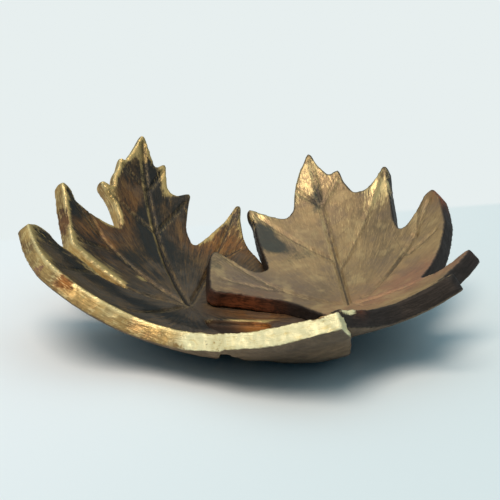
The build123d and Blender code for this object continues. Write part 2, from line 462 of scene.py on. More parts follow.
@dataclass(frozen=True)
class Patina:
    """Bronze patina of one leaf, with rubbed gold and gilded cut edges. Colours are linear.

    Args:
        name: Name of the material.
        dark: Deep tone of the floor.
        body: Main tone of the floor.
        light: Light strokes of the floor.
        warm: Tone where the bole shows through.
        rose: Copper pink tone.
        ash: Dull grey brown tone.
        rubbed: Gold that is rubbed on the floor.
        edge: Tone of a cut edge that isn't gilded.
        depth: How far the deep tone spreads over the floor, 0.9 for all over.
        fine: How fine its strokes are.
        stroke: How strong its strokes are.
        line: How dark its side veins are.
        shed: How much of the gold on its cut edges has come off.
        cut: How dark the midrib is.
        rim_gold: How much gold is rubbed along the rim.
        rim_shade: How much painted shade darkens the floor next to the cut edge.
        lip: How much gold lies beside the midrib.
        groove: Half the width of the dark line along the midrib, millimetres.
        leaf: Gold leaf.
        pale: Thick gold leaf.
        worn_and_shaded: Gold leaf that is thin from wear, also laid over the lower part of the cut edge
            as painted shade.
        smoke_and_shade: Veil that lies in the blue black patches, which are patina and, in one patch,
            painted shade.
        bright: Bright gold, for flecks of the leaf and for a painted highlight along the upper ridge of
            the cut edge.
        under: Underside.
    """

    name: str
    dark: Triple
    body: Triple
    light: Triple
    warm: Triple
    rose: Triple
    ash: Triple
    rubbed: Triple
    edge: Triple
    depth: float = 0.6
    fine: float = 0.45
    stroke: float = 1.0
    line: float = 1.0
    shed: float = 0.22
    cut: float = 0.85
    rim_gold: float = 0.45
    rim_shade: float = 0.0
    lip: float = 0.8
    groove: float = 0.55
    leaf: Triple = (0.66, 0.415, 0.14)
    pale: Triple = (0.90, 0.80, 0.45)
    worn_and_shaded: Triple = (0.30, 0.18, 0.070)
    smoke_and_shade: Triple = (0.020, 0.021, 0.021)
    bright: Triple = (0.92, 0.73, 0.34)
    under: Triple = (0.135, 0.090, 0.054)

    def build(self) -> bpy.types.Material:
        """Makes the material.

        Returns:
            The finished material.
        """
        g = Coat(self.name, self.fine)
        floor, gold = self.floor(g)
        wall, leaf_metal, bare = self.wall(g)
        on_wall = g.mask(Mask.WALL)
        on_under = g.mask(Mask.UNDER)
        metal = g.between(on_under, g.between(gold, *FLOOR_METAL), CLAY_METAL)
        rough = g.between(g.step(g.brush, 0.35, 0.7), *FLOOR_ROUGH)
        rough = g.between(on_under, rough, UNDER_ROUGH)
        shader = g.node("BsdfPrincipled", {
            "Base Color": g.layer(on_wall, g.layer(on_under, floor, self.underside(g)), wall),
            "Metallic": g.between(on_wall, metal, leaf_metal),
            "Roughness": g.between(on_wall, rough, g.between(bare, *EDGE_ROUGH)),
            "Normal": self.relief(g, g.math("MAXIMUM", on_wall, on_under)),
            "Specular IOR Level": SPECULAR,
            "Specular Tint": SHEEN,
        })
        return g.finish(shader.outputs["BSDF"])

    def relief(self, g: Coat, off_floor: Socket) -> Socket:
        """Gives the surface its fine relief.

        Args:
            g: The material's nodes.
            off_floor: 1 on cut edges and the underside, 0 on the floor.

        Returns:
            The surface's direction.
        """
        strokes = g.plus(g.times(g.hairs, 0.45 * self.stroke), g.times(g.brush, 0.5))
        streaks = g.plus(g.times(g.lines, 0.5), g.times(g.flake, 0.35))
        height = g.plus(g.between(off_floor, strokes, streaks), g.times(g.speck, 0.25))
        return g.node("Bump", {"Strength": BUMP, "Distance": BUMP_DEPTH, "Height": height}).outputs[0]

    def floor(self, g: Coat) -> tuple[Socket, Socket]:
        """Colours the floor.

        Args:
            g: The material's nodes.

        Returns:
            Its colour, and where gold is rubbed on it.
        """
        gold = self.rubbing(g)
        colour = g.layer(g.times(gold, 0.9), self.tarnish(g), self.rubbed)
        return self.veins(g, colour), gold

    def tarnish(self, g: Coat) -> Socket:
        """Lays the patina on the floor.

        Args:
            g: The material's nodes.

        Returns:
            Its colour.
        """
        spread = g.plus(g.cloud, g.times(g.strand, 0.5))
        colour = g.layer(g.step(spread, self.depth, 0.9), self.dark, self.body)
        for tone, value, low, high, amount in (
            (self.ash, g.strand, 0.25, 0.55, g.mask(Mask.ASH)),
            (self.warm, g.strand, 0.34, 0.6, g.mask(Mask.RUST)),
            (self.rose, g.cloud, 0.15, 0.55, g.mask(Mask.ROSE)),
            (self.ash, g.drift, 0.5, 0.66, 0.4),
            (self.light, g.drift, 0.48, 0.32, 0.35),
            (self.light, g.strand, 0.5, 0.66, 0.7 * self.stroke),
            (self.dark, g.strand, 0.5, 0.36, 0.6 * self.stroke),
        ):
            colour = g.tint(colour, tone, value, low, high, amount)
        # the blue black patches: patina, and on the right leaf also painted shade along an upper edge
        soot_and_shade_mask = g.mask(Mask.SOOT)
        veil = g.plus(g.times(g.strand, 0.7), g.times(g.drift, 1.2), g.times(g.flake, 0.9))
        soot = g.times(g.step(g.math("SUBTRACT", soot_and_shade_mask, veil), -1.3, -0.55), g.step(soot_and_shade_mask, 0.02, 0.2))
        colour = g.layer(g.times(soot, 0.92), colour, SOOT_AND_SHADE_TINT, Blend.DARKEN)
        return g.layer(g.times(soot, 0.62), colour, self.smoke_and_shade)

    def rubbing(self, g: Coat) -> Socket:
        """Finds where gold is rubbed on the floor: in patches, at the rim and beside the midrib.

        Args:
            g: The material's nodes.

        Returns:
            How much gold there is.
        """
        rib = g.mask(Mask.MIDRIB)
        beside = g.times(g.step(rib, -1.9, -1.1), g.step(rib, -0.35, -0.8), g.between(g.high, 0.35, 1.0),
                         g.step(g.strand, 0.38, 0.56), self.lip)
        tips = g.times(g.step(g.mask(Mask.RIM), 2.0, 0.3), self.rim_gold)
        push = g.times(g.plus(g.mask(Mask.GILT), tips), 0.36)
        ground = g.plus(g.times(g.strand, 0.8), g.times(g.flake, 0.2), push)
        gold = g.times(g.step(ground, 0.68, 0.86), g.step(g.speck, 0.18, 0.36))
        return g.math("MAXIMUM", gold, beside)

    def side_veins(self, g: Coat) -> Socket:
        """Draws fine side veins that leave the pressed ones at a slant.

        Args:
            g: The material's nodes.

        Returns:
            1 in the middle of a side vein, 0 beside it.
        """
        sway = g.times(g.noise(g.place, 55.0, 2.0), TWIG_SWAY)
        turn = g.math("FRACT", g.math("DIVIDE", g.plus(g.mask(Mask.BRANCH), sway), TWIG_GAP))
        aside = g.math("ABSOLUTE", g.math("SUBTRACT", turn, 0.5))
        breaks = g.step(g.noise(g.place, 120.0, 2.0), 0.42, 0.6)
        return g.times(g.step(aside, 0.045, 0.012), breaks, g.mask(Mask.HAIR))

    def veins(self, g: Coat, colour: Socket) -> Socket:
        """Darkens the veins, the bed and the rim, and lights the veins' lips.

        Args:
            g: The material's nodes.
            colour: The floor's colour without them.

        Returns:
            The floor's colour with them.
        """
        near = g.mask(Mask.NEAR)
        gap = g.math("ABSOLUTE", g.math("DIVIDE", g.mask(Mask.VEIN), g.math("MAXIMUM", near, 0.05)))
        gap = g.plus(gap, g.times(g.step(near, 0.3, 0.12), FAR_OFF))
        crease = g.mask(Mask.CREASE)
        colour = g.layer(g.times(self.side_veins(g), 0.4), colour, self.dark)
        lit = g.times(g.step(gap, 1.2, 0.7), g.step(g.hairs, 0.46, 0.62), 0.25)
        colour = g.layer(lit, colour, self.rubbed)
        line = g.step(g.math("DIVIDE", gap, g.between(crease, 0.42, 1.0)), 1.0, 0.35)
        line = g.times(line, g.between(g.step(g.cloud, 0.35, 0.6), 0.35 * self.line, 0.75 * self.line))
        line = g.math("MAXIMUM", line, g.times(crease, g.step(gap, 1.1, 0.5)))
        colour = g.layer(line, colour, VEIN_TONE)
        deep = g.step(g.math("ABSOLUTE", g.mask(Mask.MIDRIB)), self.groove * 1.5, self.groove * 0.6)
        cut = g.times(g.math("MAXIMUM", crease, g.between(g.high, 1.0, 0.4)), self.cut)
        colour = g.layer(g.times(deep, cut), colour, MIDRIB_TONE)
        bed = g.layer(g.mask(Mask.RUST), BED_TONE, self.warm)
        colour = g.layer(g.step(g.mask(Mask.DEPTH), 0.22, 0.34), colour, bed)
        # painted shade: the floor darkens next to the cut edge
        colour = g.tint(colour, RIM_SHADE, g.mask(Mask.RIM), 0.8, 0.15, self.rim_shade)
        return g.tint(colour, self.dark, g.speck, 0.62, 0.72, 0.3)

    def wall(self, g: Coat) -> tuple[Socket, Socket, Socket]:
        """Colours the cut edge.

        Args:
            g: The material's nodes.

        Returns:
            Its colour, how metallic it is, and where it is bare.
        """
        gilt = g.mask(Mask.GILT)
        thick = g.times(g.mask(Mask.PALE), g.step(g.plus(g.flake, g.cloud), 0.62, 0.9))
        pink = g.times(g.mask(Mask.ROSE), g.step(gilt, 0.05, 0.3))
        shed = g.times(g.plus(g.mask(Mask.RUST), pink), 0.7)
        cover = g.math("SUBTRACT", g.math("MAXIMUM", gilt, g.mask(Mask.PALE)), shed)
        ground = g.plus(g.times(g.flake, 0.35), g.times(g.sweep, 0.65))
        ground = g.times(g.math("SUBTRACT", ground, self.shed), 1.8)
        on = g.step(g.plus(ground, g.times(cover, 0.5)), 0.60, 0.76)
        colour = g.layer(on, self.bare_clay(g, pink), self.gold_leaf(g, thick))
        crack = g.plus(g.mask(Mask.CREASE), g.times(g.flake, 1.6))
        colour = g.tint(colour, CRACK_TONE, crack, 1.3, 1.75, 0.75)
        colour = g.tint(colour, EDGE_SPECK, g.speck, 0.64, 0.74, 0.3)
        metal = g.between(on, CLAY_METAL, g.between(thick, *LEAF_METAL))
        return colour, metal, g.math("SUBTRACT", 1.0, on)

    def bare_clay(self, g: Coat, pink: Socket) -> Socket:
        """Colours the cut edge where it isn't gilded.

        Args:
            g: The material's nodes.
            pink: Where copper shows through.

        Returns:
            The colour.
        """
        clay = g.layer(g.step(g.lines, 0.4, 0.65), self.edge, scaled(self.edge, 1.8))
        warm = g.layer(g.step(g.chips, 0.85, 1.1), scaled(self.warm, 0.5), scaled(self.warm, 1.5))
        clay = g.layer(g.mask(Mask.RUST), clay, warm)
        # blue black patina on the cut edge, also painted shade along the right leaf's upper edge
        clay = g.layer(g.mask(Mask.SOOT), clay, EDGE_SOOT_AND_SHADE)
        return g.layer(pink, clay, scaled(self.rose, 2.4))

    def gold_leaf(self, g: Coat, thick: Socket) -> Socket:
        """Colours the gold leaf, with painted shade low down and a painted highlight along the upper
        ridge.

        Args:
            g: The material's nodes.
            thick: Where the leaf is thick.

        Returns:
            The colour.
        """
        depth = g.mask(Mask.DEPTH)
        leaf = g.layer(g.step(g.sweep, 0.38, 0.58), self.worn_and_shaded, self.leaf)
        # painted shade: the leaf turns darker towards the underside
        leaf = g.tint(leaf, self.worn_and_shaded, depth, 0.3, 0.95, 0.55)
        leaf = g.tint(leaf, self.bright, g.chips, 1.0, 1.2, 0.5)
        # painted highlight: bright gold along the upper ridge, next to the floor
        leaf = g.tint(leaf, self.bright, g.plus(depth, g.times(g.flake, 0.5)), 0.55, 0.3, 0.85)
        pale = g.layer(g.step(g.chips, 0.72, 1.0), DULL_LEAF, self.pale)
        return g.layer(g.step(thick, 0.15, 0.6), leaf, pale)

    def underside(self, g: Coat) -> Socket:
        """Colours the underside, with faint lengthwise streaks.

        Args:
            g: The material's nodes.

        Returns:
            The colour.
        """
        streaked = g.layer(g.step(g.lines, 0.35, 0.7), self.under, scaled(self.under, 1.7))
        clouded = g.tint(streaked, UNDER_CLOUD, g.cloud, 0.4, 0.65, 0.4)
        return g.tint(clouded, UNDER_SPECK, g.speck, 0.6, 0.7, 0.3)


@dataclass
class LeafSlab:
    """One leaf: a thick clay slab bent to a bowl, with soft hand-cut edges. Sizes are millimetres.

    Args:
        node: The frame's node that it stands for, and its material slot.
        pattern: The flat pattern that it was cut from.
        finish: Its patina.
        spots: Patches of its masks, given one by one.
        ribs: Main veins, each as start and end bearing and share.
        twigs: Branch veins, in the same form.
        pulls: Tips that are drawn out.
        blunt: Corners that are rounded further.
        thin: Where the slab is thinner.
        webs: Thin webs of clay that close the slab's notch, each as x, y and half sizes.
        softness: How many times its edges are smoothed.
        thickness: Thickness of the slab.
        web_depth: How far the webs lie below the floor.
        web_thickness: Thickness of the webs.
        vein_depth: How deep the veins are pressed in again.
        vein_reach: How far from a vein's middle that reaches.
        piece: The piece, once it is copied from the frame.
    """

    node: str
    pattern: Pattern
    finish: Patina
    spots: dict[Mask, list[Spot]]
    ribs: list[Four]
    twigs: list[Four]
    pulls: list[Pull]
    blunt: list[Spot]
    thin: list[Spot] = field(default_factory=list)
    webs: list[Four] = field(default_factory=list)
    softness: int = 6
    thickness: float = 5.0
    web_depth: float = 2.0
    web_thickness: float = 0.8
    vein_depth: float = 0.4
    vein_reach: float = 1.3
    piece: bpy.types.Object = field(init=False)

    def build(self) -> bpy.types.Object:
        """Makes the leaf.

        Returns:
            The finished piece.
        """
        self.copy_slab()
        self.soften()
        self.press_veins()
        self.paint()
        self.roughen()
        piece = self.piece
        piece.data.materials.clear()
        piece.data.materials.append(self.finish.build())
        bpy.ops.object.shade_smooth()
        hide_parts(self.node)
        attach(piece, "root")
        return piece

    def copy_slab(self) -> None:
        """Copies the frame's slab, joins the webs to it and lays an even mesh over all."""
        bpy.ops.object.select_all(action="DESELECT")
        source = frame["nodes"][self.node]
        source.select_set(True)
        bpy.context.view_layer.objects.active = source
        bpy.ops.object.duplicate()
        self.piece = bpy.context.view_layer.objects.active
        bpy.ops.object.parent_clear(type="CLEAR_KEEP_TRANSFORM")
        bpy.ops.object.transform_apply(location=True, rotation=True, scale=True)
        self.piece.name = self.node + "_clay"
        self.piece.data.name = self.piece.name
        bpy.ops.object.mode_set(mode="EDIT")
        bpy.ops.mesh.select_all(action="SELECT")
        bpy.ops.mesh.remove_doubles(threshold=WELD * MM)
        bpy.ops.object.mode_set(mode="OBJECT")
        for web in self.webs:
            self.add_web(*web)
        reshape(self.piece, "REMESH", mode="VOXEL", voxel_size=CELL * MM, adaptivity=0.0)

    def add_web(self, x: float, y: float, wide: float, deep: float) -> None:
        """Joins a bent web to the slab, just above its underside.

        Args:
            x: Middle of the web.
            y: Middle of the web.
            wide: Half its size along x, before it is bent.
            deep: Half its size along y, before it is bent.
        """
        bpy.ops.object.select_all(action="DESELECT")
        bpy.ops.mesh.primitive_grid_add(x_subdivisions=WEB_CELLS, y_subdivisions=WEB_CELLS,
                                        size=2.0 * MM, location=(x * MM, y * MM, WEB_START * MM))
        web = bpy.context.view_layer.objects.active
        bpy.ops.transform.resize(value=(wide, deep, 1.0))
        bpy.context.scene.cursor.location = Vector(self.pattern.centre) * MM
        bpy.ops.object.transform_apply(location=False, rotation=False, scale=True)
        bpy.ops.object.origin_set(type="ORIGIN_CURSOR")
        reshape(web, "CAST", cast_type="SPHERE", factor=1.0, use_radius_as_size=False,
                size=(self.pattern.radius + self.web_depth) * MM)
        reshape(web, "SOLIDIFY", thickness=self.web_thickness * MM, offset=-1.0)
        bpy.ops.object.transform_apply(location=True)
        self.piece.select_set(True)
        bpy.context.view_layer.objects.active = self.piece
        bpy.ops.object.join()

    def soften(self) -> None:
        """Rounds the cut edges as wet clay is rounded by hand, and thins the slab where it is thin."""
        before, _ = self.points()
        reshape(self.piece, "SMOOTH", factor=0.5, iterations=self.softness)
        self.keep_tips(before)
        self.draw_out()
        places, _ = self.points()
        self.weigh("blunt", strength(places, self.blunt))
        reshape(self.piece, "SMOOTH", factor=0.5, iterations=CORNER_ROUNDS, vertex_group="blunt")
        if self.thin:
            places, _ = self.points()
            depth = (self.pattern.rays(places)[1] - self.pattern.radius) / self.thickness
            self.weigh("thin", strength(places, self.thin) * np.clip(depth / THIN_FROM, 0, 1))
            bpy.ops.object.empty_add(location=Vector(self.pattern.centre) * MM)
            middle = bpy.context.view_layer.objects.active
            reshape(self.piece, "CAST", cast_type="SPHERE", factor=THINNING, object=middle,
                    use_radius_as_size=False, size=self.pattern.radius * MM, vertex_group="thin")
            bpy.data.objects.remove(middle)

    def keep_tips(self, before: np.ndarray) -> None:
        """Gives the outline back the length that the rounding took off its tips.

        Args:
            before: The slab's points before it was rounded.
        """
        places, normals = self.points()
        out, radius = self.pattern.rays(places)
        out /= radius[:, None]
        lost = before - places
        lost -= np.sum(lost * out, axis=1)[:, None] * out
        # the middle of the cut edge, half way between floor and underside
        core = np.abs(np.sum(normals * out, axis=1)) < 0.4
        core &= np.abs(radius - self.pattern.radius - self.thickness / 2) < 0.2 * self.thickness
        lost = lost[core]
        targets = places[core]
        tree = tree_of(targets)
        shift = np.zeros_like(places)
        for index, place in enumerate(places):
            near = [found[1] for found in tree.find_n(place, NEIGHBOURS)]
            away = place - targets[near[0]]
            away -= (away @ out[index]) * out[index]
            share = max(0.0, 1.0 - np.linalg.norm(away) / TIP_WIDTH)
            shift[index] = lost[near].mean(axis=0) * share
        self.move(places + shift)

    def draw_out(self) -> None:
        """Draws the tips out to fine points."""
        places, _ = self.points()
        shift = np.zeros_like(places)
        for pull in self.pulls:
            away = np.linalg.norm(places - np.array(pull.place), axis=1) / pull.reach
            shift += np.exp(-away**2)[:, None] * np.array(pull.move)
        self.move(places + shift)

    def press_veins(self) -> None:
        """Presses the veins in again, where the rounding filled them."""
        places, normals = self.points()
        out, radius = self.pattern.rays(places)
        on_floor = np.sum(normals * out, axis=1) < -0.6 * radius
        on_floor &= radius < self.pattern.radius + FLOOR_SKIN
        pressed = np.clip(self.vein_reach - self.vein_fields(places)[0], 0.0, 1.0)
        self.weigh("pressed", np.where(on_floor, pressed, 0.0))
        reshape(self.piece, "DISPLACE", strength=-self.vein_depth * MM, mid_level=0.0,
                vertex_group="pressed")

    def weigh(self, name: str, weights: np.ndarray) -> None:
        """Gives the piece's points weights in a new group, in tenths.

        Args:
            name: Name of the group.
            weights: A weight for each point, 0 to 1.
        """
        group = self.piece.vertex_groups.new(name=name)
        for level in range(1, 11):
            chosen = np.nonzero(np.rint(weights * 10) == level)[0]
            group.add(chosen.tolist(), level / 10, "REPLACE")

    def points(self) -> tuple[np.ndarray, np.ndarray]:
        """Reads the piece's points.

        Returns:
            Their places, millimetres, and their normals.
        """
        vertices = self.piece.data.vertices
        places, normals = np.empty((2, len(vertices) * 3))
        vertices.foreach_get("co", places)
        vertices.foreach_get("normal", normals)
        return places.reshape(-1, 3) / MM, normals.reshape(-1, 3)

    def move(self, places: np.ndarray) -> None:
        """Puts the piece's points at new places, given in millimetres."""
        self.piece.data.vertices.foreach_set("co", (places * MM).ravel())
        self.piece.data.update()

    def store(self, name: str, values: np.ndarray) -> None:
        """Keeps values on the mesh as an attribute.

        Args:
            name: Name of the attribute.
            values: A number or a vector for each point.
        """
        kind, key = ("FLOAT", "value") if values.ndim == 1 else ("FLOAT_VECTOR", "vector")
        made = self.piece.data.attributes.new(name, kind, "POINT")
        made.data.foreach_set(key, values.astype(np.float32).ravel())

    def paint(self) -> None:
        """Works out the masks and coordinates that the patina reads."""
        places, normals = self.points()
        out, radius = self.pattern.rays(places)
        gap, side, run, hair, midrib = self.vein_fields(places)
        # -1 on the floor, 1 on the underside and near 0 on the cut edge between them
        facing = np.sum(normals * out, axis=1) / radius
        wall = np.clip((0.80 - np.abs(facing)) / 0.25, 0.0, 1.0)
        wall = np.where((radius < self.pattern.radius + VEIN_SKIN) & (gap < VEIN_HALF), 0.0, wall)
        under = np.clip((facing - 0.2) / 0.2, 0.0, 1.0)
        tree = tree_of(places[wall > 0.5])
        near = np.where(under > 0, 0.0, np.exp(-(gap / self.vein_reach) ** 2))
        masks = {
            Mask.WALL: wall,
            Mask.UNDER: under,
            Mask.DEPTH: np.clip((radius - self.pattern.radius) / self.thickness, 0.0, 1.0),
            Mask.RIM: np.array([min(tree.find(place)[2], NO_RIM) for place in places]),
            Mask.VEIN: side * gap * near,
            Mask.NEAR: near,
            Mask.MIDRIB: np.where(under > 0, FAR_OFF, midrib),
            Mask.BRANCH: run,
            Mask.HAIR: np.where((under > 0) | (wall > 0), 0.0, hair),
        }
        masks |= {mask: strength(places, laid) for mask, laid in self.spots.items()}
        for mask, values in masks.items():
            self.store(mask.value, values)
        fan = self.pattern.flatten(places) - self.pattern.spot(0.0, 0.0)
        length = np.linalg.norm(fan, axis=1) + 0.5
        self.store(GRAIN, np.column_stack((fan / length[:, None], GRAIN_RUN * length)))
        self.store(BAND, np.column_stack((places[:, :2] * BAND_RUN, radius * BAND_DEPTH)))

    def vein_fields(self, places: np.ndarray) -> tuple[np.ndarray, ...]:
        """Measures where points lie among the veins.

        Args:
            places: The points, millimetres.

        Returns:
            Distance from the nearest vein, the side of it (-1 or 1), the run along the nearest
            main vein, how well fine side veins show, and distance from the midrib, less than 0
            on its left.
        """
        rays, lengths = self.pattern.rays(places)
        floor = np.array(self.pattern.centre) + rays / lengths[:, None] * self.pattern.radius
        flat = self.pattern.flatten(places)
        first = np.full(len(places), NO_VEIN)
        second = first.copy()
        nearest = first.copy()
        run = np.zeros(len(places))
        side = np.ones(len(places))
        for index, vein in enumerate(self.ribs + self.twigs):
            start = self.pattern.spot(*vein[:2])
            along = self.pattern.spot(*vein[2:]) - start
            length = float(np.linalg.norm(along))
            share = np.clip((flat - start) @ along / length**2, 0.0, 1.0)
            gap = np.linalg.norm(floor - self.pattern.wrap(start + share[:, None] * along), axis=1)
            across = along[1] * (flat - start)[:, 0] - along[0] * (flat - start)[:, 1]
            if index == 0:
                midrib = np.where(across < 0, -gap, gap)
            side = np.where(gap < nearest, np.sign(across), side)
            nearest = np.minimum(nearest, gap)
            if index < len(self.ribs):
                closer = gap < first
                second = np.where(closer, first, np.minimum(second, gap))
                run = np.where(closer, share * length - gap, run)
                first = np.where(closer, gap, first)
        # fine side veins end half way to the next main vein and 11 mm from their own
        hair = np.clip((second - first - 0.4) / 1.5, 0.0, 1.0)
        hair *= np.clip((11.0 - first) / 6.0, 0.0, 1.0)
        return nearest, side, run, hair, midrib

    def roughen(self) -> None:
        """Gives the slab the slight waves and dents of clay, and lumps where the gold is thick."""
        places, _ = self.points()
        self.weigh("lump", strength(places, self.spots[Mask.PALE]))
        for name, size, height, level, group in (
            ("lump", 5.0, 1.3, 0.6, "lump"),
            ("wave", 14.0, 0.5, 0.5, ""),
            ("dent", 3.0, 0.22, 0.5, ""),
        ):
            texture = bpy.data.textures.new(f"{self.node}_{name}", "CLOUDS")
            texture.noise_scale = size * MM
            texture.noise_depth = 2
            reshape(self.piece, "DISPLACE", texture=texture, strength=height * MM, mid_level=level,
                    texture_coords="LOCAL", vertex_group=group)


@dataclass
class Studio:
    """Floor, lights and camera.

    Args:
        eye: Where the camera stands, millimetres.
        tilt: How far the camera looks down, degrees.
        lens: Focal length on the sensor, millimetres.
        sensor: Width of the sensor, millimetres.
        lamp: Where the main light stands, metres.
        power: How strong it is.
        spread: How wide it looks, degrees.
        glow: Its colour.
        horizon: Colour of the sky low down.
        zenith: Colour of the sky overhead.
        dusk: Height up to which the sky keeps its low colour, 1 for overhead.
        size: Side of the floor, metres.
        near_left: Colour of the floor at the left.
        near_right_shaded: Colour of the floor at the front right, darker as painted shade.
        fade: Slope, start and end of the change between the two, metres.
        haze: Light of the floor's far part.
        horizon_line: Slope, start and end of the change to it, metres.
    """

    eye: Triple = (-1.71, -281.4, 105.1)
    tilt: float = 16.0
    lens: float = 75.6
    sensor: float = 36.0
    lamp: Triple = (-0.14, -0.26, 0.62)
    power: float = 2.1
    spread: float = 34.0
    glow: Triple = (1.0, 0.83, 0.73)
    horizon: Triple = (0.02, 0.09, 0.15)
    zenith: Triple = (0.62, 0.84, 0.95)
    dusk: float = 0.24
    size: float = 6.0
    near_left: Triple = (0.84, 0.87, 0.86)
    near_right_shaded: Triple = (0.71, 0.78, 0.77)
    fade: Triple = (0.3, -0.10, 0.08)
    haze: Triple = (0.80, 0.862, 0.862)
    horizon_line: Triple = (0.297, 0.122, 0.130)

    def build(self) -> None:
        """Sets up the floor, the lights and the camera."""
        bpy.context.scene.view_settings.view_transform = "Standard"
        for lay in (self.lay_floor, self.light, self.place_camera):
            bpy.ops.object.select_all(action="DESELECT")
            lay()

    def lay_floor(self) -> None:
        """Lays the pale floor, which is painted darker towards the front right as painted shade, and
        turns a little lighter along the foot of the wall.
        """
        bpy.ops.mesh.primitive_plane_add(size=self.size, location=(0, 0, 0))
        floor = bpy.context.view_layer.objects.active
        floor.name = "floor"
        g = Graph("pale_floor")
        x, y, _ = g.node("SeparateXYZ", {0: g.node("TexCoord").outputs["Object"]}).outputs
        far = g.step(g.math("SUBTRACT", y, g.times(x, self.horizon_line[0])), *self.horizon_line[1:])
        # painted shade: the floor's colour darkens towards the front right
        right = g.step(g.math("SUBTRACT", x, g.times(y, self.fade[0])), *self.fade[1:])
        near = g.node("BsdfDiffuse", {"Color": g.layer(right, self.near_left, self.near_right_shaded)})
        wall = g.node("Emission", {"Color": self.haze})
        path = g.node("LightPath")
        seen = g.math("MAXIMUM", path.outputs["Is Camera Ray"], path.outputs["Is Glossy Ray"])
        mixed = g.node("MixShader", {0: g.times(far, seen), 1: near.outputs[0], 2: wall.outputs[0]})
        floor.data.materials.append(g.finish(mixed.outputs[0]))

    def light(self) -> None:
        """Lights the dish softly from above, under a sky that is cooler and dimmer low down."""
        world = bpy.data.worlds.new("sky")
        world.use_nodes = True
        tree = world.node_tree
        where = tree.nodes.new("ShaderNodeTexCoord")
        split = tree.nodes.new("ShaderNodeSeparateXYZ")
        ramp = tree.nodes.new("ShaderNodeValToRGB")
        low, high = ramp.color_ramp.elements
        low.color = (*self.horizon, 1.0)
        low.position = self.dusk
        high.color = (*self.zenith, 1.0)
        tree.links.new(where.outputs["Generated"], split.inputs[0])
        tree.links.new(split.outputs["Z"], ramp.inputs["Fac"])
        tree.links.new(ramp.outputs["Color"], tree.nodes["Background"].inputs["Color"])
        bpy.context.scene.world = world
        bpy.ops.object.light_add(type="SUN", location=self.lamp)
        key = bpy.context.view_layer.objects.active
        key.name = "key"
        key.data.angle = math.radians(self.spread)
        key.data.energy = self.power
        key.data.color = self.glow
        key.rotation_euler = Vector(self.lamp).to_track_quat("Z", "Y").to_euler()

    def place_camera(self) -> None:
        """Stands the camera at the photograph's angle."""
        bpy.ops.object.camera_add(location=Vector(self.eye) * MM,
                                  rotation=(math.radians(90.0 - self.tilt), 0.0, 0.0))
        camera = bpy.context.view_layer.objects.active
        camera.data.sensor_width = self.sensor
        camera.data.lens = self.lens
        camera.data.clip_start = 0.01
        bpy.context.scene.camera = camera


LEFT_PATTERN = Pattern(centre=(0, 0, 83.0), radius=80.0, lean=12.0, lean_heading=140.0,
                       midrib_heading=114.2, reach=99.0, side=-7.2, back=0.1)
RIGHT_PATTERN = Pattern(centre=(6, 0, 87.3), radius=80.0, lean=18.0, lean_heading=40.0,
                        midrib_heading=93.2, reach=88.0, side=0.3, back=19.8)

# Veins: bearing and share of the reach at the start, then at the end. The midrib is the first.
LEFT_RIBS = [
    (0, 0, 0, 0.93), (-36, 0.02, -35.5, 0.66), (-73, 0.02, -73.5, 0.63),
    (-112, 0.02, -119, 0.52), (36, 0.02, 36, 0.54), (137, 0.34, 180, 0.83),
]
LEFT_TWIGS = [
    (0, 0.38, -16.5, 0.61), (0, 0.38, 15.5, 0.55), (0, 0.60, 6.5, 0.73), (0, 0.60, -7.3, 0.77),
    (-35.8, 0.32, -52, 0.43), (-35.6, 0.38, -31.8, 0.53), (-73, 0.32, -95, 0.58),
    (36, 0.28, 46, 0.38),
]
RIGHT_RIBS = [
    (0, 0, 0, 0.94), (62, 0.06, 42, 0.61), (100, 0.02, 99, 0.43),
    (-44, 0.02, -46, 0.60), (-178, 0.10, -178, 0.62),
]
RIGHT_TWIGS = [
    (0, 0.28, 20.5, 0.77), (0, 0.34, -22.5, 0.71), (0, 0.66, 6.8, 0.80), (0, 0.66, -6.8, 0.79),
    (47.5, 0.33, 54, 0.46), (44.4, 0.42, 37.8, 0.58), (-45.5, 0.28, -59, 0.50),
    (138, 0.05, 137, 0.49),
]

